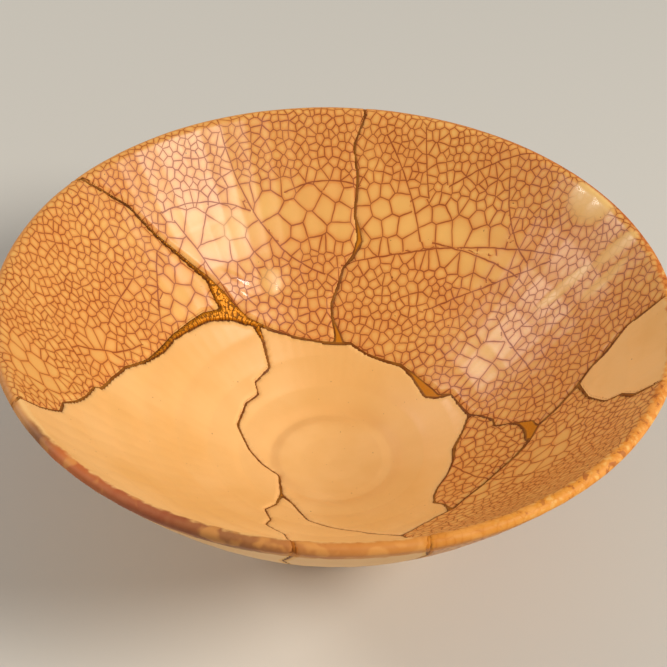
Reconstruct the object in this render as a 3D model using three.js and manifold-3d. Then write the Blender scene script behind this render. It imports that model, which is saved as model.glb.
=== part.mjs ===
// A kintsugi tea bowl: a thrown, glazed bowl that once broke into nine sherds and was put together
// again with lacquer and gold. Each sherd is its own solid, and the lacquer that fills the breaks is
// one connected web that runs through the whole wall. Millimetres, +Z up, the foot's underside at
// z = 0 with the bowl's axis on the origin, and the front of the bowl towards -Y.
import * as THREE from "three";
import { mergeVertices } from "three/addons/utils/BufferGeometryUtils.js";
import Module from "manifold-3d";

const wasm = await Module();
wasm.setup();

// Overall form
const rimRadius = 80;
const bowlHeight = 63.5;
const lipThickness = 3;
const wallThicknessAtCentre = 7;
const wellHeight = 8.5; // the lowest point of the inside, above the table
const wallCurve = 1.9; // power of the inside's profile: 1 is a cone, 2 a parabola
const lipSlope = THREE.MathUtils.degToRad(52); // of the wall where it meets the lip

// The slightly raised round that the potter left in the well
const bossRadius = 15;
const bossHeight = 0.5;
const bossEdge = 4;

// Foot ring
const overFoot = 25.7; // radius of the inside that lies over the place where the wall meets the foot
const footRadius = 27;
const footWidthAtTable = 3.6;
const footTaper = 1.2; // the foot's inner side leans in by this much
const footEdge = 0.7; // trimmed off the foot's corners
const footRecess = 3.6;
const recessEdge = 1.5; // trimmed off the corner at the top of the recess

// Lacquer
const bondGap = 0.15; // left free between a sherd and the lacquer
const proud = 0.2; // the lacquer stands above the glaze by this much
const clearOfTable = 0.3;

// How finely the turned form is faceted
const turnSteps = 76;
const insideSteps = 10;
const outsideSteps = 8;
const lipSteps = 4;

const plainGlaze = { color: "#f2c583", roughness: 0.25, metalness: 0 };
const crackledGlaze = { color: "#dfa566", roughness: 0.25, metalness: 0 };
const goldLacquer = { color: "#c08a2c", roughness: 0.35, metalness: 0.9 };

const curtainHeight = 2 * bowlHeight;
const rodWidth = 1; // of the rod that finds a sherd

// The breaks, as seen from above: [x, y, width of the lacquer there].
const breaks = {
  left: [
    [-68.5, 43.2, 1.1], [-60, 45, 1.0], [-53.5, 46, 1.0], [-47, 44, 1.2], [-40, 42.6, 1.4],
    [-33.5, 41, 1.7], [-30.2, 38.4, 4.2], [-27, 36, 4.6], [-22.5, 35.2, 2.4], [-18, 35.2, 1.1],
  ],
  frontLeft: [
    [-26, 35.6, 3.2], [-29.5, 34.4, 3.0], [-33.5, 32.2, 2.6], [-37, 28.5, 2.2], [-41, 23.3, 1.6],
    [-43.8, 17.6, 1.7], [-46.5, 13, 1.1], [-51.3, 6.8, 1.1], [-53.8, 0.5, 1.1], [-55.6, -5.4, 1.1],
    [-57.2, -7, 1.0], [-58.2, -12.4, 1.0], [-59.6, -17, 1.0], [-62, -22.4, 1.0], [-61.8, -27.4, 1.0],
    [-65, -33.4, 1.0], [-68, -36.4, 1.1], [-71, -41, 1.2],
  ],
  middle: [
    [-19, 35.2, 1.2], [-10, 34.4, 1.0], [-3, 34, 1.0], [4.4, 33.8, 1.2], [8.6, 31.1, 1.0],
    [12.6, 29.2, 1.1], [17.6, 27, 1.2], [20.6, 23.8, 1.6], [22.8, 20.6, 2.6], [24.8, 17.6, 3.4],
    [27, 15.9, 1.8], [30.2, 15.2, 1.0], [32, 11.6, 1.0], [34.5, 6.6, 1.1],
  ],
  back: [
    [6, 81, 1.2], [6.9, 77, 1.1], [4.1, 72.4, 1.0], [5.3, 66.8, 1.1], [4.8, 60, 1.1],
    [5.8, 57.4, 1.7], [6.2, 55.2, 2.3], [4.6, 52.4, 1.3], [1.9, 50, 1.0], [1, 47, 1.2],
    [-0.9, 42.6, 1.2], [-0.5, 39.5, 1.0], [0.9, 36, 2.2], [1.4, 33.8, 3.0],
  ],
  centre: [
    [-20.4, 34.6, 2.2], [-18.6, 32, 1.3], [-16.6, 25.8, 1.1], [-20.2, 21, 0.9], [-19.2, 18, 0.9],
    [-22.2, 14.4, 0.9], [-24, 7, 1.0], [-20.6, 0, 0.9], [-17.2, -3.8, 0.9], [-12.9, -6.6, 0.9],
    [-12, -15, 1.2],
  ],
  frontInner: [
    [-12, -14.4, 1.3], [-13.1, -20, 0.9], [-15.6, -24.2, 0.9], [-14, -30, 0.9], [-15, -34, 0.9],
    [-10.4, -39.6, 0.9], [-9.2, -46, 0.9], [-12, -53, 1.0], [-8.4, -62, 0.9], [-9.6, -70, 0.9],
    [-6.4, -81, 1.1],
  ],
  frontOuter: [
    [-12, -14.6, 1.3], [-9, -18.6, 1.0], [-5.2, -26.8, 0.9], [0.4, -30.6, 0.9], [7, -34.4, 0.9],
    [12, -38.4, 0.9], [16.6, -43, 1.2],
  ],
  long: [
    [82, 3.6, 1.2], [70, 4.1, 1.1], [65.4, 0.8, 1.3], [62, -0.6, 1.1], [58.6, -4, 1.2],
    [54, -7.2, 1.1], [49.6, -9.4, 1.2], [47.2, -13.8, 1.3], [44.2, -17, 1.2], [40.2, -20, 1.1],
    [36, -23.9, 1.1], [32, -27.4, 1.1], [28.8, -31.4, 1.3], [24.8, -33.7, 1.0], [21.2, -37, 1.0],
    [16.6, -42.6, 1.2], [18.6, -51, 1.0], [16.8, -60, 1.0], [20.6, -69, 1.0], [20, -79, 1.2],
  ],
  right: [
    [59, -3.6, 1.2], [60.5, -10.6, 0.9], [63.4, -17, 0.9], [66.4, -18.8, 1.2], [68.2, -23.2, 1.6],
    [72.4, -25.8, 1.1], [78, -27.4, 1.2],
  ],
  smallTop: [
    [34.4, 6.8, 1.1], [37.2, 4.8, 1.0], [40, 1.6, 1.0], [40.4, -1, 1.0], [43.8, -2.8, 1.0],
    [45.8, -4.6, 1.6], [47.6, -6.8, 3.4], [48.2, -9.4, 3.6], [47, -13, 1.6],
  ],
  smallSide: [
    [34.6, 7, 1.1], [32.8, 2, 1.0], [30.7, -2.2, 1.4], [30, -8, 1.0], [28.7, -12, 1.0],
    [26.3, -16.3, 1.0], [25.1, -20.4, 1.0], [25, -24.1, 1.2], [27.2, -26.6, 1.0], [28.3, -31.8, 1.4],
  ],
};

// Each sherd is the piece of wall that stands over this point.
const sherds = [
  { name: "crackled_sherd_left", at: [-62, 20], glaze: crackledGlaze },
  { name: "crackled_sherd_back_left", at: [-25, 55], glaze: crackledGlaze },
  { name: "crackled_sherd_back_right", at: [40, 40], glaze: crackledGlaze },
  { name: "crackled_sherd_small", at: [37, -8], glaze: crackledGlaze },
  { name: "crackled_sherd_front_right", at: [50, -40], glaze: crackledGlaze },
  { name: "plain_sherd_front_left", at: [-40, -20], glaze: plainGlaze },
  { name: "plain_sherd_well", at: [5, 0], glaze: plainGlaze },
  { name: "plain_sherd_front", at: [5, -60], glaze: plainGlaze },
  { name: "plain_sherd_right", at: [70, -10], glaze: plainGlaze },
];

const lipRadius = lipThickness / 2;
const lipCentre = new THREE.Vector2(rimRadius - lipRadius, bowlHeight - lipRadius);
const insideRimRadius = lipCentre.x - lipRadius * Math.sin(lipSlope);
const insideRimHeight = lipCentre.y + lipRadius * Math.cos(lipSlope);

const insideDepth = insideRimHeight - wellHeight;

function wallHeight(radius) {
  return wellHeight + insideDepth * (radius / insideRimRadius) ** wallCurve;
}

function insideHeight(radius) {
  const boss = 1 - THREE.MathUtils.smoothstep(radius, bossRadius - bossEdge, bossRadius);
  return wallHeight(radius) + bossHeight * boss;
}

// The wall's outer side: the inside's curve moved square to itself by the wall's thickness.
function outsidePoint(radius) {
  const share = radius / insideRimRadius;
  const slope = Math.atan((wallCurve * insideDepth * share ** (wallCurve - 1)) / insideRimRadius);
  const thickness = THREE.MathUtils.lerp(wallThicknessAtCentre, lipThickness, share);
  return new THREE.Vector2(
    radius + thickness * Math.sin(slope),
    wallHeight(radius) - thickness * Math.cos(slope),
  );
}

// Half of the bowl's section, from the well out over the lip and down to the axis under the foot.
function section() {
  const points = [];
  for (let i = 0; i <= insideSteps; i++) {
    const radius = (insideRimRadius * i) / insideSteps;
    points.push(new THREE.Vector2(radius, insideHeight(radius)));
  }
  for (let i = 1; i < lipSteps; i++) {
    const turn = lipSlope + Math.PI / 2 - (Math.PI * i) / lipSteps;
    points.push(new THREE.Vector2(Math.cos(turn), Math.sin(turn)).multiplyScalar(lipRadius).add(lipCentre));
  }
  for (let i = 0; i <= outsideSteps; i++) {
    points.push(outsidePoint(THREE.MathUtils.lerp(insideRimRadius, overFoot, i / outsideSteps)));
  }
  const footInside = footRadius - footWidthAtTable;
  points.push(
    new THREE.Vector2(footRadius, footEdge),
    new THREE.Vector2(footRadius - footEdge, 0),
    new THREE.Vector2(footInside + footEdge, 0),
    new THREE.Vector2(footInside, footEdge),
    new THREE.Vector2(footInside - footTaper, footRecess - footEdge),
    new THREE.Vector2(footInside - footTaper - recessEdge, footRecess),
    new THREE.Vector2(0, footRecess - footEdge),
  );
  return points;
}

// The same section, swollen by a distance along its own normals, and kept off the table.
function swollenSection(distance) {
  const points = section();
  return points.map((point, i) => {
    const before = points[Math.max(i - 1, 0)];
    const after = points[Math.min(i + 1, points.length - 1)];
    const along = after.clone().sub(before).normalize();
    const moved = point.clone().add(new THREE.Vector2(-along.y, along.x).multiplyScalar(distance));
    const onAxis = i === 0 || i === points.length - 1;
    return new THREE.Vector2(onAxis ? 0 : moved.x, Math.max(moved.y, clearOfTable));
  });
}

function solidFrom(geometry) {
  geometry.deleteAttribute("normal");
  geometry.deleteAttribute("uv");
  const merged = mergeVertices(geometry, 1e-3);
  return new wasm.Manifold(
    new wasm.Mesh({
      numProp: 3,
      vertProperties: merged.attributes.position.array,
      triVerts: new Uint32Array(merged.index.array),
    }),
  );
}

// A section turned about the upright axis. LatheGeometry turns about Y, so it is stood up afterwards.
function turned(points) {
  const geometry = new THREE.LatheGeometry([...points].reverse(), turnSteps);
  geometry.rotateX(Math.PI / 2);
  return solidFrom(geometry);
}

// An upright curtain along a break: a flat outline at the lacquer's width, less a margin each side.
function curtain(points, margin) {
  const left = [];
  const right = [];
  points.forEach(([x, y, width], i) => {
    const here = new THREE.Vector2(x, y);
    const [fromX, fromY] = points[Math.max(i - 1, 0)];
    const [toX, toY] = points[Math.min(i + 1, points.length - 1)];
    const along = new THREE.Vector2(toX - fromX, toY - fromY).normalize();
    const aside = new THREE.Vector2(-along.y, along.x).multiplyScalar(width / 2 - margin);
    left.push(here.clone().add(aside));
    right.unshift(here.clone().sub(aside));
  });
  const outline = new THREE.Shape([...left, ...right]);
  const geometry = new THREE.ExtrudeGeometry(outline, { depth: curtainHeight, bevelEnabled: false });
  geometry.translate(0, 0, -bowlHeight / 2);
  return solidFrom(geometry);
}

function web(margin) {
  return Object.values(breaks)
    .map((points) => curtain(points, margin))
    .reduce((whole, one) => whole.add(one));
}

function meshOf(solid, name, finish) {
  const { vertProperties, triVerts } = solid.getMesh();
  const geometry = new THREE.BufferGeometry();
  geometry.setAttribute("position", new THREE.BufferAttribute(vertProperties, 3));
  geometry.setIndex(new THREE.BufferAttribute(triVerts, 1));
  geometry.computeVertexNormals();
  const mesh = new THREE.Mesh(geometry, new THREE.MeshStandardMaterial(finish));
  mesh.name = name;
  return mesh;
}

function standsOver(solid, [x, y]) {
  const rod = new THREE.BoxGeometry(rodWidth, rodWidth, 2 * curtainHeight);
  rod.translate(x, y, 0);
  return solid.intersect(solidFrom(rod)).volume() > 0;
}

const kintsugiBowl = new THREE.Group();
const pieces = turned(section()).subtract(web(0)).decompose();
for (const { name, at, glaze } of sherds) {
  const piece = pieces.find((one) => standsOver(one, at));
  kintsugiBowl.add(meshOf(piece, name, glaze));
}
const lacquer = turned(swollenSection(proud)).intersect(web(bondGap));
kintsugiBowl.add(meshOf(lacquer, "gold_lacquer_web", goldLacquer));

export default kintsugiBowl;
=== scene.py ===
import math

import bpy
import numpy as np
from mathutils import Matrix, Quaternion, Vector
from mathutils.bvhtree import BVHTree
from mathutils.kdtree import KDTree


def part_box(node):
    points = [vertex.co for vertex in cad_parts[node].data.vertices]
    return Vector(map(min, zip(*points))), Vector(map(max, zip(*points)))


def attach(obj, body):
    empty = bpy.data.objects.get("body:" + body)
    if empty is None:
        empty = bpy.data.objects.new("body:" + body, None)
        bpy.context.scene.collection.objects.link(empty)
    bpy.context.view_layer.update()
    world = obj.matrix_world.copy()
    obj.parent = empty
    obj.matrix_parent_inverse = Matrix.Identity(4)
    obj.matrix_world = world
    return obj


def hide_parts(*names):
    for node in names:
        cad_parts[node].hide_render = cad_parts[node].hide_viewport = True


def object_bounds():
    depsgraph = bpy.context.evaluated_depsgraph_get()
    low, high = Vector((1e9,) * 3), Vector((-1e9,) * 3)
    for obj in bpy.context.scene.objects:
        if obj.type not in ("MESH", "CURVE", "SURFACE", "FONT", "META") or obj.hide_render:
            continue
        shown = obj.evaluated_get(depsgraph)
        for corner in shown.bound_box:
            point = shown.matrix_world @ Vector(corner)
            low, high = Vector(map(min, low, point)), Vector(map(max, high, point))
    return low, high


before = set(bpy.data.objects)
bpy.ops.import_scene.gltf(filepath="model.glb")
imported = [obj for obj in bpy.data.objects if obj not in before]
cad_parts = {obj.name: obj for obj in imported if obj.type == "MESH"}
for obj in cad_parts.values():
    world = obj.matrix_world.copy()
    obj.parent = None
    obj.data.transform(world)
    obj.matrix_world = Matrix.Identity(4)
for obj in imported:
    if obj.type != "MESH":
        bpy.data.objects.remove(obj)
cadBox = [list(corner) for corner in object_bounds()]
mm = 0.001
weldGap = 1e-6


def workOn(piece):
    bpy.ops.object.select_all(action="DESELECT")
    piece.select_set(True)
    bpy.context.view_layer.objects.active = piece


def modify(piece, kind, **settings):
    workOn(piece)
    modifier = piece.modifiers.new(kind.lower(), kind)
    for name, value in settings.items():
        setattr(modifier, name, value)
    bpy.ops.object.modifier_apply(modifier=modifier.name)


def points(piece):
    flat = np.empty(len(piece.data.vertices) * 3)
    piece.data.vertices.foreach_get("co", flat)
    return flat.reshape(-1, 3)


def normals(piece):
    flat = np.empty(len(piece.data.vertices) * 3)
    piece.data.vertices.foreach_get("normal", flat)
    return flat.reshape(-1, 3)


def setPoints(piece, where):
    piece.data.vertices.foreach_set("co", where.ravel())
    piece.data.update()


def setAttribute(piece, name, values):
    attribute = piece.data.attributes.new(name, "FLOAT", "POINT")
    attribute.data.foreach_set("value", np.asarray(values, dtype=np.float32))


def smoothstep(value, low, high):
    share = np.clip((value - low) / (high - low), 0, 1)
    return share * share * (3 - 2 * share)


class Signal:  # a shader socket that takes part in Python expressions
    def __init__(self, sketch, socket):
        self.sketch = sketch
        self.socket = socket

    def __add__(self, other):
        return self.sketch.maths("ADD", self, other)

    def __radd__(self, other):
        return self.sketch.maths("ADD", other, self)

    def __sub__(self, other):
        return self.sketch.maths("SUBTRACT", self, other)

    def __rsub__(self, other):
        return self.sketch.maths("SUBTRACT", other, self)

    def __mul__(self, other):
        return self.sketch.maths("MULTIPLY", self, other)

    def __rmul__(self, other):
        return self.sketch.maths("MULTIPLY", other, self)

    def __truediv__(self, other):
        return self.sketch.maths("DIVIDE", self, other)

    def __rtruediv__(self, other):
        return self.sketch.maths("DIVIDE", other, self)

    def __pow__(self, other):
        return self.sketch.maths("POWER", self, other)


class Sketch:
    def __init__(self, name):
        self.material = bpy.data.materials.new(name)
        self.material.use_nodes = True
        self.tree = self.material.node_tree
        self.shader = self.tree.nodes["Principled BSDF"]
        objectPlace = self.node("ShaderNodeTexCoord", {}, {}, "Object")
        self.place = self.vector("SCALE", objectPlace, Scale=1 / mm)  # in millimetres
        self.x, self.y, self.z = self.split(self.place)
        self.plan = self.join(self.x, self.y)  # as seen from above
        self.radius = self.vector("LENGTH", self.plan, output="Value")

    def node(self, kind, settings, inputs, output=0):
        made = self.tree.nodes.new(kind)
        for name, value in settings.items():
            if name == "stops":
                self.setStops(made.color_ramp, value)
            else:
                setattr(made, name, value)
        for name, value in inputs.items():
            self.feed(made.inputs[name], value)
        return Signal(self, made.outputs[output])

    def feed(self, socket, value):
        if isinstance(value, Signal):
            self.tree.links.new(value.socket, socket)
        else:
            socket.default_value = value

    def setStops(self, ramp, stops):
        while len(ramp.elements) < len(stops):
            ramp.elements.new(0.5)
        for element, (position, colour) in zip(ramp.elements, stops):
            element.position = position
            element.color = (*colour, 1)

    def maths(self, operation, *values):
        return self.node("ShaderNodeMath", {"operation": operation}, dict(enumerate(values)))

    def vector(self, operation, *values, output=0, **named):
        inputs = {**dict(enumerate(values)), **named}
        return self.node("ShaderNodeVectorMath", {"operation": operation}, inputs, output)

    def split(self, vector):
        parts = self.tree.nodes.new("ShaderNodeSeparateXYZ")
        self.feed(parts.inputs[0], vector)
        return [Signal(self, socket) for socket in parts.outputs]

    def join(self, x, y, z=0.0):
        return self.node("ShaderNodeCombineXYZ", {}, {"X": x, "Y": y, "Z": z})

    def step(self, value, low, high, bottom=0.0, top=1.0):  # smooth from bottom at low to top at high
        inputs = {"Value": value, "From Min": low, "From Max": high, "To Min": bottom, "To Max": top}
        return self.node("ShaderNodeMapRange", {"interpolation_type": "SMOOTHSTEP"}, inputs)

    def fade(self, value, low, high):  # smooth from 1 at low to 0 at high
        return self.step(value, low, high, 1.0, 0.0)

    def mix(self, factor, first, second):
        first, second = [c if isinstance(c, Signal) else (*c, 1) for c in (first, second)]
        settings = {"data_type": "RGBA", "blend_type": "MIX", "clamp_result": False}
        return self.node("ShaderNodeMix", settings, {0: factor, 6: first, 7: second}, 2)

    def noise(self, where, size, detail=2.0, output="Fac", dimensions="3D"):
        inputs = {"Vector": where, "Scale": 1 / size, "Detail": detail}
        return self.node("ShaderNodeTexNoise", {"noise_dimensions": dimensions}, inputs, output)

    def cells(self, where, size, chance, dimensions="3D"):  # the distance to the nearest cell's middle
        inputs = {"Vector": where, "Scale": 1 / size, "Randomness": chance}
        return self.node("ShaderNodeTexVoronoi", {"voronoi_dimensions": dimensions}, inputs, "Distance")

    def spot(self, where, centre, radii, turn=0.0):  # 1 inside an ellipse, fading to 0 at its edge
        inputs = {"Vector": where, "Location": (*centre, 0), "Rotation": (0, 0, math.radians(turn)),
                  "Scale": (*radii, 1)}
        inEllipse = self.node("ShaderNodeMapping", {"vector_type": "TEXTURE"}, inputs)
        return self.fade(self.vector("LENGTH", inEllipse, output="Value"), 0.55, 1.0)

    def bump(self, height, depth):  # depth in millimetres for a height from 0 to 1
        inputs = {"Height": height, "Distance": depth * mm, "Strength": 1.0}
        return self.node("ShaderNodeBump", {}, inputs)

    def finish(self, **inputs):
        for name, value in inputs.items():
            self.feed(self.shader.inputs[name.replace("_", " ")], value)
        return self.material


def fromScreen(*screen):  # a colour as a screen shows it, 0 to 255, made linear
    return tuple(c / 3294.6 if c < 11 else ((c / 255 + 0.055) / 1.055) ** 2.4 for c in screen)


form = {  # the solids' turned form, but smooth, with a lower boss and faint finger rings
    "rimRadius": 80.0, "bowlHeight": 63.5, "lipThickness": 3.0, "wallThicknessAtCentre": 7.0,
    "wellHeight": 8.5, "wallCurve": 1.9, "lipSlope": math.radians(52),
    "bossRadius": 15.0, "bossHeight": 0.12, "bossEdge": 8.0,
    "overFoot": 25.7, "footRadius": 27.0, "footWidth": 3.6, "footTaper": 1.2, "footEdge": 0.7,
    "footRecess": 3.6, "recessEdge": 1.5,
    "fingerRing": 6.5, "fingerRingDepth": 0.02, "ringsStart": (8, 20), "ringsEnd": (66, 76),
    "wallSteps": 260, "lipSteps": 24, "turnSteps": 1440,
}
lipRadius = form["lipThickness"] / 2
lipCentre = (form["rimRadius"] - lipRadius, form["bowlHeight"] - lipRadius)
insideRim = lipCentre[0] - lipRadius * math.sin(form["lipSlope"])
insideDepth = lipCentre[1] + lipRadius * math.cos(form["lipSlope"]) - form["wellHeight"]


def wallHeight(radius):
    return form["wellHeight"] + insideDepth * (radius / insideRim) ** form["wallCurve"]


def insidePoint(radius):
    boss = 1 - smoothstep(radius, form["bossRadius"] - form["bossEdge"], form["bossRadius"])
    fingers = form["fingerRingDepth"] * math.sin(2 * math.pi * radius / form["fingerRing"])
    fade = smoothstep(radius, *form["ringsStart"]) * (1 - smoothstep(radius, *form["ringsEnd"]))
    return radius, wallHeight(radius) + form["bossHeight"] * boss + fingers * fade


def outsidePoint(radius):
    share = radius / insideRim
    slope = math.atan(form["wallCurve"] * insideDepth * share ** (form["wallCurve"] - 1) / insideRim)
    thickness = form["wallThicknessAtCentre"] * (1 - share) + form["lipThickness"] * share
    return radius + thickness * math.sin(slope), wallHeight(radius) - thickness * math.cos(slope)


def turnedForm():
    steps = form["wallSteps"]
    section = [insidePoint(insideRim * i / steps) for i in range(steps + 1)]
    for i in range(1, form["lipSteps"]):
        turn = form["lipSlope"] + math.pi / 2 - math.pi * i / form["lipSteps"]
        across, up = lipRadius * math.cos(turn), lipRadius * math.sin(turn)
        section.append((lipCentre[0] + across, lipCentre[1] + up))
    inwards = form["overFoot"] - insideRim
    section += [outsidePoint(insideRim + inwards * i / steps) for i in range(steps + 1)]
    footInside = form["footRadius"] - form["footWidth"]
    section += [
        (form["footRadius"], form["footEdge"]), (form["footRadius"] - form["footEdge"], 0),
        (footInside + form["footEdge"], 0), (footInside, form["footEdge"]),
        (footInside - form["footTaper"], form["footRecess"] - form["footEdge"]),
        (footInside - form["footTaper"] - form["recessEdge"], form["footRecess"]),
        (0, form["footRecess"] - form["footEdge"]),
    ]
    mesh = bpy.data.meshes.new("turned_form")
    edges = [(i, i + 1) for i in range(len(section) - 1)]
    mesh.from_pydata([(r * mm, 0, z * mm) for r, z in section], edges, [])
    turned = bpy.data.objects.new("turned_form", mesh)
    bpy.context.scene.collection.objects.link(turned)
    modify(turned, "SCREW", steps=form["turnSteps"], render_steps=form["turnSteps"],
           use_merge_vertices=True, merge_threshold=weldGap)
    bpy.ops.object.mode_set(mode="EDIT")
    bpy.ops.mesh.select_all(action="SELECT")
    bpy.ops.mesh.normals_make_consistent(inside=False)
    bpy.ops.object.mode_set(mode="OBJECT")
    return turned


turned = turnedForm()
print("turned form: done")


glazeSurface = {
    "voxel": 0.5, "swell": 0.45, "skinNear": 0.4, "skinFar": 0.7, "smoothing": 3,
    "waviness": 0.10, "waveSize": 9.0, "peel": 0.035, "peelSize": 3.2, "seamReach": 1.5,
    "dropFall": 1.2, "dropShoulder": 1.7, "dropMargin": 1.3, "dropsAbove": (14, 16),
    "drops": [  # x, y, half length, half width, turn in degrees, height, shine, share of cream, which is partly a painted sheen
        (-17, 45, 2.6, 2.6, 0, 0.24, 0.14, 0.5), (-26, 43.4, 3.4, 0.8, -6, 0.15, 0.35, 0.0),
        (-23, 40.6, 3.0, 0.7, -8, 0.12, 0.35, 0.0), (64, 42, 6.5, 3.8, -50, 0.4, 0.1, 0.95),
        (57, 27, 6.0, 1.6, 8, 0.16, 0.0, 0.8), (69, 27, 5.0, 1.8, 0, 0.16, 0.0, 0.8),
        (66, 21.5, 5.0, 1.5, 8, 0.12, 0.0, 0.7), (-28, 53, 4.5, 3.0, 20, 0.1, 0.0, 0.4),
    ],
}


def copyOfNode(node, name):
    piece = bpy.data.objects.new(name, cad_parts[node].data.copy())
    piece.data.materials.clear()
    bpy.context.scene.collection.objects.link(piece)
    workOn(piece)
    bpy.ops.object.mode_set(mode="EDIT")
    bpy.ops.mesh.select_all(action="SELECT")
    bpy.ops.mesh.remove_doubles(threshold=weldGap)
    bpy.ops.object.mode_set(mode="OBJECT")
    return piece


def distanceTo(where, nodes, most):  # from each place to the nearest of the nodes, in millimetres up to most
    distance = np.full(len(where), float(most))
    for node in nodes:
        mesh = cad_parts[node].data
        corners, faces = [v.co for v in mesh.vertices], [p.vertices for p in mesh.polygons]
        tree = BVHTree.FromPolygons(corners, faces)
        low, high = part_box(node)
        nearBox = (where > np.array(low) - most * mm) & (where < np.array(high) + most * mm)
        for i in np.flatnonzero(nearBox.all(axis=1)):
            found = tree.find_nearest(Vector(where[i]), most * mm)[3]
            if found is not None:
                distance[i] = min(distance[i], found / mm)
    return distance


def noiseTexture(name, size, depth=1):
    texture = bpy.data.textures.new(name, "CLOUDS")
    texture.noise_scale = size * mm
    texture.noise_depth = depth
    return texture


waves = noiseTexture("glaze_waves", glazeSurface["waveSize"])
peel = noiseTexture("glaze_peel", glazeSurface["peelSize"])


def raiseDrops(piece):
    where, outward = points(piece), normals(piece)
    x, y, z = where.T / mm
    inside = z > wallHeight(np.hypot(x, y)) - 1
    height = np.zeros(len(where))
    for dropX, dropY, length, width, turn, high, _, _ in glazeSurface["drops"]:
        angle = math.radians(turn)
        along = (x - dropX) * math.cos(angle) + (y - dropY) * math.sin(angle)
        across = (y - dropY) * math.cos(angle) - (x - dropX) * math.sin(angle)
        off = (along / length) ** 2 + (across / width) ** 2
        height += high * np.exp(-glazeSurface["dropFall"] * off ** glazeSurface["dropShoulder"])
    setPoints(piece, np.clip(where + outward * (height * inside * mm)[:, None], cadBox[0], cadBox[1]))


def weighByDepth(piece, group, noneAt, allAt):  # a vertex group by the distance to the turned form
    piece.vertex_groups.new(name=group).add(range(len(piece.data.vertices)), 1.0, "REPLACE")
    modify(piece, "VERTEX_WEIGHT_PROXIMITY", vertex_group=group, target=turned,
           proximity_mode="GEOMETRY", proximity_geometry={"FACE"},
           min_dist=noneAt * mm, max_dist=allAt * mm)


def glazedSherd(node):
    piece = copyOfNode(node, node.replace("_sherd", "_glazed_sherd"))
    modify(piece, "REMESH", mode="VOXEL", voxel_size=glazeSurface["voxel"] * mm, use_smooth_shade=True)
    modify(piece, "DISPLACE", strength=glazeSurface["swell"] * mm, mid_level=0.0)
    weighByDepth(piece, "skin", glazeSurface["skinFar"], glazeSurface["skinNear"])
    modify(piece, "SHRINKWRAP", target=turned, wrap_method="NEAREST_SURFACEPOINT", vertex_group="skin")
    modify(piece, "SMOOTH", factor=0.5, iterations=glazeSurface["smoothing"], vertex_group="skin")
    for texture, depth in ((waves, glazeSurface["waviness"]), (peel, glazeSurface["peel"])):
        modify(piece, "DISPLACE", texture=texture, texture_coords="LOCAL", strength=depth * mm,
               mid_level=1.0, vertex_group="skin")
    raiseDrops(piece)
    piece.vertex_groups.clear()
    toSeam = distanceTo(points(piece), ["gold_lacquer_web"], glazeSurface["seamReach"])
    setAttribute(piece, "toSeam", toSeam)
    workOn(piece)
    bpy.ops.object.shade_smooth()
    print(f"{piece.name}: {2 * len(piece.data.polygons)} triangles")
    return piece


glaze = {
    "honey": fromScreen(240, 189, 106), "amber": fromScreen(236, 178, 98),
    # the cream is thick glaze without crackle, and partly a painted sheen: the pale colour of a lamp's sheen
    # on the drops
    "blush": fromScreen(238, 166, 98), "creamAndPaintedSheen": fromScreen(244, 198, 122),
    "stain": fromScreen(214, 124, 46), "crack": fromScreen(136, 54, 8), "speck": fromScreen(96, 40, 14),
    "ivory": fromScreen(250, 198, 128), "straw": fromScreen(240, 184, 108),
    "clay": fromScreen(176, 132, 96), "darkClay": fromScreen(140, 96, 66), "clayBelow": (1.1, 1.5),
    "crackWidth": 0.2, "crackEdge": (0.2, 1.4), "longEdge": (0.4, 1.6), "haloWidth": 0.5, "haloFall": 2.5,
    "wobble": 0.5, "wobbleSize": 3.0, "flatten": 0.27, "flattenCurve": 1.8,
    "roughness": 0.34, "plainRoughness": 0.42, "coatRoughness": 0.06, "specular": 0.36,
    "pool": (12, 17, 23),  # a faint ring of stain round the well: starts, is deepest, ends
}
rim = {  # each tint at its share of the way round from the left, by the front
    "wear": (1.6, 0.4), "ragged": 0.8, "raggedInFront": 2.2,
    "tints": [
        (0.0, fromScreen(214, 140, 66)), (0.09, fromScreen(206, 136, 70)), (0.105, fromScreen(110, 44, 8)),
        (0.12, fromScreen(196, 92, 28)), (0.17, fromScreen(150, 50, 10)), (0.21, fromScreen(132, 62, 14)),
        (0.25, fromScreen(200, 116, 36)), (0.34, fromScreen(226, 146, 44)),
        (0.46, fromScreen(216, 128, 44)), (0.57, fromScreen(196, 96, 30)),
        (0.66, fromScreen(206, 116, 46)), (0.82, fromScreen(230, 160, 84)),
        (1.0, fromScreen(214, 140, 66)),
    ],
    "patch": fromScreen(238, 164, 78), "mottle": fromScreen(150, 64, 16),
}
crackle = {
    "cell": 2.45, "bigCell": 6.8, "spread": (0.66, 1.4), "apart": 0.8, "clear": 0.36,
    "reach": 103.0, "tries": 60000, "luck": 11, "near": 4, "look": 10, "routeStep": 0.3,
    "bandEdge": (0.75, 1.2), "spotEdge": (0.7, 1.2),
    "coarseBand": (60, 8, 42, 128),  # radius, half width, from and to in degrees round the bowl
    "coarseSpots": [  # x, y, radius
        (-38, 35, 9), (-35, 48, 10), (-27, 50, 8), (-57, 6, 6), (-69, -18, 10),
        (38, 20, 7), (50, -25, 9), (35, -28, 5),
    ],
    "longCracks": [  # start x, y, heading, length, turn along it
        (-33, 74, -70, 42, 60), (0, 50, 12, 62, -55), (-46, 48, 45, 26, -45), (-15, 62, 30, 22, -45),
        (23, 74, -90, 14, 10), (12, 74, -50, 24, -30), (28, 61, 10, 26, -30), (45, 61, -100, 24, 40),
        (24, 52, -20, 28, -30), (22, 38, 5, 33, -20), (-76, 8, -20, 22, -30), (-46, 42, -90, 20, 15),
    ],
    "wanderers": 18, "wander": (18, 50), "bend": 0.02, "shake": 0.02,
    "startWithin": 0.75, "startGap": 7, "keepGap": 2, "shortest": 10,
}
farAway = 9  # further than any crack reaches


def wallStretch(share):  # how much further out the flattened wall puts a share of the rim's radius
    return 1 + glaze["flatten"] * share ** glaze["flattenCurve"]


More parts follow.
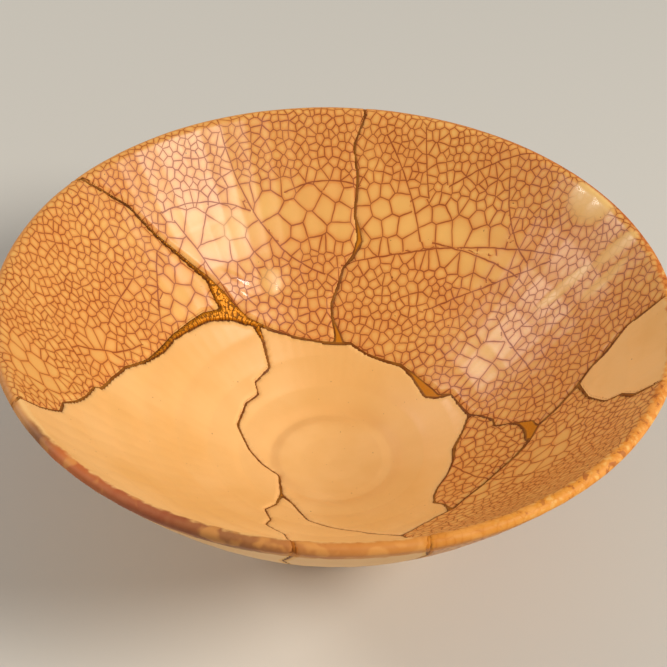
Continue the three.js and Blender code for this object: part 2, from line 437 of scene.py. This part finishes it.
def laidFlat(plan):  # the curved wall laid out flat, so that cells near the rim aren't drawn out
    share = np.hypot(plan[..., 0], plan[..., 1]) / insideRim
    return plan * wallStretch(share)[..., None]


def bigness(flat):  # 1 where the crackle is coarse, 0 where it is fine
    radius, halfWidth, first, last = crackle["coarseBand"]
    middle, half = math.radians((first + last) / 2), math.radians((last - first) / 2)
    bandRadius = np.hypot(*laidFlat(np.array([radius, 0.0])))
    around = np.abs(np.arctan2(flat[..., 1], flat[..., 0]) - middle) / half
    offBand = np.abs(np.hypot(flat[..., 0], flat[..., 1]) - bandRadius) / halfWidth
    most = 1 - smoothstep(np.maximum(offBand, around ** 4), *crackle["bandEdge"])
    for x, y, reach in crackle["coarseSpots"]:
        apart = flat - laidFlat(np.array([x, y], float))
        offSpot = np.hypot(apart[..., 0], apart[..., 1]) / reach
        most = np.maximum(most, 1 - smoothstep(offSpot, *crackle["spotEdge"]))
    return most


def cellSize(flat):
    return crackle["cell"] + (crackle["bigCell"] - crackle["cell"]) * bigness(flat)


def arcRoute(x, y, heading, length, turn):
    headings = np.radians(heading + turn * np.linspace(0, 1, length))
    steps = np.column_stack([np.cos(headings), np.sin(headings)])
    return laidFlat(np.array([x, y]) + np.cumsum(steps, axis=0))


def longRoutes(random):
    routes = [arcRoute(*arc) for arc in crackle["longCracks"]]
    for _ in range(crackle["wanderers"]):
        at = random.uniform(-crackle["startWithin"], crackle["startWithin"], 2) * crackle["reach"]
        heading, bend = random.uniform(0, 2 * math.pi), random.normal(0, crackle["bend"])
        route = []
        for step in range(int(random.uniform(*crackle["wander"]))):
            gap = crackle["keepGap"] if step else crackle["startGap"]
            if min(np.hypot(*(known - at).T).min() for known in routes) < gap:
                break
            route.append(at)
            heading += bend + random.normal(0, crackle["shake"])
            at = at + (math.cos(heading), math.sin(heading))
        if len(route) > crackle["shortest"]:
            routes.append(np.array(route))
    return routes


class LongCracks:
    def __init__(self, routes):
        self.at, self.across, self.route, self.inner = [], [], [], []
        for number, route in enumerate(routes):
            walked = np.concatenate([[0], np.cumsum(np.hypot(*np.diff(route, axis=0).T))])
            along = np.arange(0, walked[-1], crackle["routeStep"])
            at = np.column_stack([np.interp(along, walked, column) for column in route.T])
            ahead = np.gradient(at, axis=0)
            ahead /= np.hypot(*ahead.T)[:, None]
            self.at.extend(at)
            self.across.extend(np.column_stack([-ahead[:, 1], ahead[:, 0]]))
            self.route.extend([number] * len(at))
            self.inner.extend([0 < i < len(at) - 1 for i in range(len(at))])
        self.at, self.across = np.array(self.at), np.array(self.across)
        self.route, self.inner = np.array(self.route), np.array(self.inner)
        self.tree = treeOf(self.at)

    def nearest(self, flat):  # the point of a long crack that is nearest to each place
        return np.array([self.tree.find((x, y, 0))[1] for x, y in flat])

    def beside(self, flat, chosen):  # the distance to the crack there, signed by the side
        return ((flat - self.at[chosen]) * self.across[chosen]).sum(axis=-1)


def treeOf(places):
    tree = KDTree(len(places))
    for number, (x, y) in enumerate(places):
        tree.insert((x, y, 0), number)
    tree.balance()
    return tree


def sowSeeds(random):  # one in each cell of the crackle
    tries = random.uniform(-crackle["reach"], crackle["reach"], (crackle["tries"], 2))
    tries = tries[np.hypot(*tries.T) < crackle["reach"]]
    sizes = cellSize(tries) * random.uniform(*crackle["spread"], len(tries))
    gaps = np.hypot(*(tries - longCracks.at[longCracks.nearest(tries)]).T)
    at, size, count = np.empty_like(tries), np.empty(len(tries)), 0
    for spot, room, gap in zip(tries, sizes, gaps):
        apart = np.hypot(*(at[:count] - spot).T)
        clear = gap > crackle["clear"] * room
        if clear and (apart > crackle["apart"] * (size[:count] + room) / 2).all():
            at[count], size[count] = spot, room
            count += 1
    print(f"crackle: {count} cells")
    return at[:count]


def setCrackle(piece):  # every face knows the seeds nearest to it on its own side of the long cracks
    centres = np.empty(len(piece.data.polygons) * 3)
    piece.data.polygons.foreach_get("center", centres)
    flat = laidFlat(centres.reshape(-1, 3)[:, :2] / mm)
    near, look = crackle["near"], crackle["look"]
    nearest = np.array([[found[1] for found in seedTree.find_n((x, y, 0), look)] for x, y in flat])
    line = longCracks.nearest(flat)
    ownSide = longCracks.beside(flat, line)
    ownLine = np.repeat(line[:, None], look, axis=1)
    seedLine = longCracks.nearest(seeds)[nearest]
    sameRoute = longCracks.route[seedLine] == longCracks.route[ownLine]
    seedSide = longCracks.beside(seeds[nearest], np.where(sameRoute, seedLine, ownLine))
    across = (seedSide * ownSide[:, None] < 0) & longCracks.inner[ownLine]
    order = np.argsort(across * look + np.arange(look), axis=1)[:, :near]
    nearest = np.take_along_axis(nearest, order, axis=1)
    for rank in range(near):
        ranked = np.column_stack([seeds[nearest[:, rank]], np.zeros(len(flat))])
        setFaceVector(piece, f"seed{rank}", ranked)
    beside = longCracks.inner[line]
    towards = longCracks.across[line] * beside[:, None]
    away = (longCracks.at[line] * longCracks.across[line]).sum(axis=1)
    setFaceVector(piece, "long", np.column_stack([towards, np.where(beside, away, farAway)]))


def setFaceVector(piece, name, values):
    attribute = piece.data.attributes.new(name, "FLOAT_VECTOR", "FACE")
    attribute.data.foreach_set("vector", values.astype(np.float32).ravel())


chance = np.random.default_rng(crackle["luck"])
longCracks = LongCracks(longRoutes(chance))
seeds = sowSeeds(chance)
seedTree = treeOf(seeds)


def rimWear(sketch, colour):
    rimRadius = form["rimRadius"]
    around = sketch.maths("ARCTAN2", sketch.y, sketch.x) / (2 * math.pi) + 0.5  # 0 and 1 at -X, 0.25 at -Y
    ragged = sketch.noise(sketch.place, 2.5, 3.0)
    front = sketch.step(around, 0.08, 0.13) * sketch.fade(around, 0.5, 0.58)
    reach = sketch.radius + ragged * (rim["ragged"] + rim["raggedInFront"] * front)
    edge = sketch.step(reach, rimRadius - rim["wear"][0], rimRadius - rim["wear"][1])
    tint = sketch.node("ShaderNodeValToRGB", {"stops": rim["tints"]}, {"Fac": around})
    patch = sketch.step(sketch.noise(sketch.place, 5.0, 2.0), 0.5, 0.62) * front * 0.5
    tint = sketch.mix(patch, tint, rim["patch"])
    right = sketch.step(around, 0.3, 0.36) * sketch.fade(around, 0.52, 0.6)
    mottle = sketch.noise(sketch.place, 1.8, 4.0)
    tint = sketch.mix(sketch.step(mottle, 0.52, 0.66) * right * 0.7, tint, glaze["honey"])
    tint = sketch.mix(sketch.fade(mottle, 0.36, 0.44) * right * 0.7, tint, rim["mottle"])
    chips = sketch.step(sketch.noise(sketch.place, 1.6, 2.0), 0.6, 0.66) * sketch.step(around, 0.54, 0.6)
    tint = sketch.mix(chips * sketch.step(around, 0.66, 0.72, 0.9, 0.0), tint, glaze["speck"])
    return sketch.mix(edge * (0.75 + 0.25 * ragged), colour, tint), edge


def soiledEdge(sketch, colour):  # the glaze is brown where it was broken, and dull beside the break
    toSeam = sketch.node("ShaderNodeAttribute", {"attribute_name": "toSeam"}, {}, "Fac")
    soiled = sketch.fade(toSeam + sketch.noise(sketch.place, 0.8, 2.0) * 0.2, 0.05, 0.3)
    return sketch.mix(soiled * 0.5, colour, glaze["crack"]), sketch.fade(toSeam, 0.3, 1.0)


def bareFoot(sketch, colour):
    grain = sketch.noise(sketch.place, 0.6, 4.0)
    low = sketch.fade(sketch.z + grain * 0.8, *glaze["clayBelow"])
    clay = sketch.mix(grain, glaze["clay"], glaze["darkClay"])
    return sketch.mix(low, colour, clay), low


dropShine, dropCreamAndPaintedSheen = 6, 7  # places in a drop's row


def onDrops(sketch, share):  # the drops' shine or cream where they lie, fading at their edges; the cream is partly a painted sheen
    total, margin = 0, glazeSurface["dropMargin"]
    for drop in glazeSurface["drops"]:
        x, y, length, width, turn = drop[:5]
        if drop[share]:
            spot = sketch.spot(sketch.plan, (x, y), (length * margin, width * margin), turn)
            total = total + drop[share] * spot
    return sketch.maths("MINIMUM", total, 1.0) * sketch.step(sketch.z, *glazeSurface["dropsAbove"])


def haloRound(edge):
    return 1 / (1 + (edge / glaze["haloWidth"]) ** glaze["haloFall"])


def crackNet(sketch):  # how far the nearest crack and long crack are, their halo, and the cell's shade
    stretch = wallStretch(sketch.radius / insideRim)
    noise = sketch.noise(sketch.plan, glaze["wobbleSize"], 1.0, "Color", "2D")
    wobble = sketch.vector("SUBTRACT", noise, (0.5, 0.5, 0.5))
    flat = sketch.vector("ADD", sketch.join(sketch.x * stretch, sketch.y * stretch),
                         sketch.vector("SCALE", wobble, Scale=glaze["wobble"]))
    x, y, _ = sketch.split(flat)
    near = []  # the cracks run halfway between neighbouring seeds
    for rank in range(crackle["near"]):
        seed = sketch.node("ShaderNodeAttribute", {"attribute_name": f"seed{rank}"}, {}, "Vector")
        seedX, seedY, _ = sketch.split(seed)
        shade = sketch.node("ShaderNodeTexWhiteNoise", {}, {"Vector": seed}, "Value")
        near.append((seedX, seedY, (x - seedX) * (x - seedX) + (y - seedY) * (y - seedY), shade))
    least = near[0][2]
    for other in near[1:]:
        least = sketch.maths("MINIMUM", least, other[2])
    line = sketch.node("ShaderNodeAttribute", {"attribute_name": "long"}, {}, "Vector")
    towardsX, towardsY, away = sketch.split(line)
    longEdge = sketch.maths("ABSOLUTE", x * towardsX + y * towardsY - away)
    edge, halo, cellShade = longEdge, haloRound(longEdge), 0.0
    for rank, (firstX, firstY, firstAway, shade) in enumerate(near):
        cellShade = cellShade + shade * sketch.maths("LESS_THAN", firstAway - least, 0.0001)
        for secondX, secondY, secondAway, _ in near[rank + 1:]:
            aside, ahead = firstX - secondX, firstY - secondY
            between = sketch.maths("SQRT", aside * aside + ahead * ahead)
            apart = sketch.maths("ABSOLUTE", firstAway - secondAway) / (between * 2)
            nearer = sketch.maths("MINIMUM", firstAway, secondAway)
            apart = apart + farAway * sketch.maths("GREATER_THAN", nearer - least, 0.0001)
            edge = sketch.maths("MINIMUM", edge, apart)
            halo = halo + haloRound(apart)
    return edge, longEdge, sketch.maths("MINIMUM", halo, 1.0), cellShade


def crackledGlaze():
    sketch = Sketch("crackled_glaze")
    middle = wallHeight(sketch.radius) - 1.5
    side = sketch.step(sketch.z - middle, -0.1, 0.1)  # 1 on the inside of the bowl
    edge, longEdge, halo, cellShade = crackNet(sketch)
    faint = sketch.noise(sketch.place, 6.0, 3.0)
    width = glaze["crackWidth"] * (0.6 + 0.8 * faint)
    crack = sketch.fade(edge / width, *glaze["crackEdge"])
    long = sketch.fade(longEdge / width, *glaze["longEdge"])

    blotch = sketch.noise(sketch.place, 16, 4.0)
    body = sketch.mix(sketch.step(blotch, 0.35, 0.65), glaze["honey"], glaze["amber"])
    body = sketch.mix(sketch.step(cellShade, 0.6, 1.0) * 0.25, body, glaze["blush"])
    body = sketch.mix(halo * (0.44 + 0.4 * faint), body, glaze["stain"])
    body = sketch.mix(crack * (0.58 + 0.4 * faint), body, glaze["crack"])
    body = sketch.mix(long * 0.35, body, glaze["crack"])
    # cream on the drops: thick glaze, and partly a painted sheen where the lamp's sheen lies on them
    body = sketch.mix(onDrops(sketch, dropCreamAndPaintedSheen) * side, body, glaze["creamAndPaintedSheen"])
    body, handled = soiledEdge(sketch, body)
    speck = sketch.step(sketch.noise(sketch.place, 1.4, 1.0), 0.79, 0.82)
    body = sketch.mix(speck * 0.7, body, glaze["speck"])
    body, worn = rimWear(sketch, body)
    body, bare = bareFoot(sketch, body)
    skin = sketch.bump(sketch.noise(sketch.place, 0.9, 2.0), 0.012)
    dull = crack * 0.1 + bare * 0.4 + worn * 0.25 + handled * 0.4
    return sketch.finish(Base_Color=body, Roughness=glaze["roughness"] + dull, Normal=skin,
                         Coat_Weight=onDrops(sketch, dropShine) * side,
                         Coat_Roughness=glaze["coatRoughness"], Specular_IOR_Level=glaze["specular"])


def plainGlaze():
    sketch = Sketch("plain_glaze")
    blotch = sketch.noise(sketch.place, 22, 4.0)
    body = sketch.mix(sketch.step(blotch, 0.3, 0.7), glaze["ivory"], glaze["straw"])
    cloud = sketch.noise(sketch.place, 6, 3.0)
    body = sketch.mix(cloud * 0.18, body, glaze["amber"])
    speck = sketch.step(sketch.noise(sketch.place, 1.0, 1.0), 0.78, 0.81)
    body = sketch.mix(speck * 0.6, body, glaze["speck"])
    reach = sketch.radius + cloud * 4
    start, deepest, end = glaze["pool"]
    pooled = sketch.step(reach, start, deepest) * sketch.fade(reach, deepest, end)
    body = sketch.mix(pooled * 0.12 * cloud, body, glaze["stain"])
    body, handled = soiledEdge(sketch, body)
    body, worn = rimWear(sketch, body)
    body, bare = bareFoot(sketch, body)
    skin = sketch.bump(sketch.noise(sketch.place, 1.3, 2.0), 0.015)
    dull = bare * 0.4 + worn * 0.2 + handled * 0.3
    return sketch.finish(Base_Color=body, Roughness=glaze["plainRoughness"] + dull, Normal=skin)


seam = {
    "voxel": 0.26, "swell": 0.05, "beadDepth": 0.55, "sunk": 0.17, "thinHeight": 0.14, "richHeight": 0.5,
    "grain": 0.05, "grainSize": 0.7, "hiddenShare": 0.4, "hiddenFrom": (0.8, 1.2), "beadFade": 0.25,
    "thinEdge": (0.2, 0.5), "richEdge": (0.25, 0.9), "levelAbove": (60, 61.5), "farthest": 3,
    "leftFrom": (-66, -54), "leftTo": (-26, -23), "leftAbove": (9, 13),
    "hub": (-25, 35), "hubEdge": (6, 7.5),
    "arch": (-28.5, 23.5), "archRadius": 12.0, "archEdge": (14.5, 17.0),
    "rib": 0.64, "ribLength": 1.6, "ribBend": 1.2, "nugget": 0.6,
    "gapEdge": (0.42, 0.62), "fillEdge": (0.55, 0.85), "darkEdge": (0.1, 0.4),
    "gold": fromScreen(220, 144, 26), "deepGold": fromScreen(178, 104, 14),
    "fill": fromScreen(200, 124, 18), "olive": fromScreen(146, 92, 28),
    "brown": fromScreen(124, 68, 18), "lacquer": fromScreen(84, 40, 8),
    "roughness": 0.42, "specular": 0.15,
}


def richness(x, y):  # 1 where gold was laid thickly: along the left, round the arch and where they meet
    hubX, hubY = seam["hub"]
    left = smoothstep(x, *seam["leftFrom"]) * (1 - smoothstep(x, *seam["leftTo"]))
    hub = 1 - smoothstep(np.hypot(x - hubX, y - hubY), *seam["hubEdge"])
    return np.maximum(left * smoothstep(y, *seam["leftAbove"]), hub)


def goldSeams(sherdNodes):
    piece = copyOfNode("gold_lacquer_web", "gold_seams")
    modify(piece, "REMESH", mode="VOXEL", voxel_size=seam["voxel"] * mm, use_smooth_shade=True)
    weighByDepth(piece, "hidden", *seam["hiddenFrom"])
    modify(piece, "DECIMATE", ratio=seam["hiddenShare"], vertex_group="hidden")
    piece.vertex_groups.clear()
    modify(piece, "DISPLACE", strength=seam["swell"] * mm, mid_level=0.0)
    weighByDepth(piece, "bead", seam["beadDepth"] + seam["beadFade"], seam["beadDepth"])
    modify(piece, "SHRINKWRAP", target=turned, wrap_method="NEAREST_SURFACEPOINT", wrap_mode="ABOVE_SURFACE",
           offset=-seam["sunk"] * mm, vertex_group="bead")
    modify(piece, "DISPLACE", texture=noiseTexture("gold_grain", seam["grainSize"]), texture_coords="LOCAL",
           strength=seam["grain"] * mm, vertex_group="bead")
    piece.vertex_groups.clear()
    where, outward = points(piece), normals(piece)
    inset = distanceTo(where, sherdNodes, seam["farthest"])
    rich = richness(where[:, 0] / mm, where[:, 1] / mm)
    crown = seam["thinHeight"] * smoothstep(inset, *seam["thinEdge"])
    crown += rich * seam["richHeight"] * smoothstep(inset, *seam["richEdge"])
    crown -= seam["thinHeight"] * smoothstep(where[:, 2] / mm, *seam["levelAbove"])  # level at the rim
    setPoints(piece, np.clip(where + outward * (crown * mm)[:, None], cadBox[0], cadBox[1]))
    setAttribute(piece, "inset", inset)
    setAttribute(piece, "rich", rich)
    print(f"{piece.name}: {sum(len(p.vertices) - 2 for p in piece.data.polygons)} triangles")
    return piece


def goldLacquer():
    sketch = Sketch("gold_lacquer")
    inset = sketch.node("ShaderNodeAttribute", {"attribute_name": "inset"}, {}, "Fac")
    rich = sketch.node("ShaderNodeAttribute", {"attribute_name": "rich"}, {}, "Fac")
    grain = sketch.noise(sketch.place, 0.45, 3.0)
    worn = sketch.noise(sketch.place, 4.0, 3.0)
    archX, archY = seam["arch"]
    turn = sketch.maths("ARCTAN2", sketch.y - archY, sketch.x - archX)
    fromArch = sketch.vector("LENGTH", sketch.join(sketch.x - archX, sketch.y - archY), output="Value")
    bent = sketch.noise(sketch.place, 1.5, 1.0) * seam["ribBend"]
    along = turn * (seam["archRadius"] / seam["rib"])
    outwards = fromArch / (seam["rib"] * seam["ribLength"])
    roundArch = sketch.join(along + bent, outwards + bent)
    ribs = sketch.cells(roundArch, 1.0, 0.7, "2D")
    nuggets = sketch.cells(sketch.place, seam["nugget"], 1.0)
    onArch = sketch.fade(fromArch, *seam["archEdge"]) * rich
    nearest = ribs * onArch + nuggets * (1 - onArch)
    gap = sketch.step(nearest + (grain - 0.5) * 0.3, *seam["gapEdge"])  # 1 between nuggets
    fill = sketch.step(inset, *seam["fillEdge"]) * (1 - rich)
    edge = sketch.fade(inset + (grain - 0.5) * 0.4 - rich * 0.25, *seam["darkEdge"])
    leaf = sketch.mix(grain, seam["deepGold"], seam["gold"])
    leaf = sketch.mix(gap * 0.65, leaf, seam["lacquer"])
    thin = sketch.mix(sketch.step(worn, 0.4, 0.6), seam["olive"], seam["brown"])
    thin = sketch.mix(fill, thin, seam["fill"])
    body = sketch.mix(rich, thin, leaf)
    body = sketch.mix(edge * (0.5 + 0.3 * rich), body, seam["lacquer"])
    body, rubbed = rimWear(sketch, body)
    metal = rich * (1 - gap) * (1 - edge) * (1 - rubbed) * 0.3
    bump = sketch.bump((1 - gap) * rich + grain * 0.3, 0.2)
    return sketch.finish(Base_Color=body, Metallic=metal, Roughness=seam["roughness"] + 0.2 * gap,
                         Normal=bump, Specular_IOR_Level=seam["specular"])


def place(piece, node, material):
    piece.data.materials.append(material)
    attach(piece, "root")
    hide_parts(node)


crackled, plain, lacquer = crackledGlaze(), plainGlaze(), goldLacquer()
sherdNodes = [node for node in sorted(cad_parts) if "sherd" in node]
for node in sherdNodes:
    piece = glazedSherd(node)
    if node.startswith("plain"):
        place(piece, node, plain)
    else:
        setCrackle(piece)
        place(piece, node, crackled)
place(goldSeams(sherdNodes), "gold_lacquer_web", lacquer)
bpy.data.objects.remove(turned)
print("bowl: done")


studio = {
    "floor": fromScreen(206, 203, 196), "floorRoughness": 0.8, "floorSize": 4.0, "floorGap": 0.1,
    "skyColour": (1, 0.98, 0.95), "sky": 0.28,
    "lights": [  # direction from the bowl, distance, width, power, colour
        ((0.68, -0.32, 0.66), 1.2, 0.4, 11.8, (1.0, 0.95, 0.87)),
        ((-0.80, 0.287, 0.524), 1.2, 0.3, 5.4, (1.0, 0.95, 0.88)),
    ],
    "lens": 100.0, "sensor": 36.0, "distance": 422.14, "aim": (-0.15, -13.34), "tilt": 40.68, "roll": 1.41,
}

bpy.ops.object.select_all(action="DESELECT")
bpy.ops.mesh.primitive_plane_add(size=studio["floorSize"], location=(0, 0, -studio["floorGap"] * mm))
floor = bpy.context.active_object
floor.name = "floor"
paper = bpy.data.materials.new("floor_paper")
paper.use_nodes = True
paperInputs = paper.node_tree.nodes["Principled BSDF"].inputs
paperInputs["Base Color"].default_value = (*studio["floor"], 1)
paperInputs["Roughness"].default_value = studio["floorRoughness"]
floor.data.materials.append(paper)

world = bpy.data.worlds.new("studio")
world.use_nodes = True
skyInputs = world.node_tree.nodes["Background"].inputs
skyInputs["Color"].default_value = (*studio["skyColour"], 1)
skyInputs["Strength"].default_value = studio["sky"]
bpy.context.scene.world = world

for direction, distance, width, power, colour in studio["lights"]:
    lamp = bpy.data.lights.new("softbox", "AREA")
    lamp.shape = "DISK"
    lamp.size = width
    lamp.energy = power
    lamp.color = colour
    softbox = bpy.data.objects.new("softbox", lamp)
    softbox.location = Vector(direction).normalized() * distance
    softbox.rotation_euler = Vector(direction).to_track_quat("Z", "Y").to_euler()
    bpy.context.scene.collection.objects.link(softbox)

tilt = math.radians(studio["tilt"])
aim = Vector((*studio["aim"], form["bowlHeight"])) * mm
away = Vector((0, -math.cos(tilt), math.sin(tilt)))
lens = bpy.data.cameras.new("camera")
lens.lens = studio["lens"]
lens.sensor_width = studio["sensor"]
camera = bpy.data.objects.new("camera", lens)
camera.location = aim + away * studio["distance"] * mm
camera.rotation_mode = "QUATERNION"
roll = Quaternion((0, 0, 1), math.radians(studio["roll"]))
camera.rotation_quaternion = away.to_track_quat("Z", "Y") @ roll
bpy.context.scene.collection.objects.link(camera)
bpy.context.scene.camera = camera
bpy.context.scene.view_settings.view_transform = "Standard"
print("studio: done")
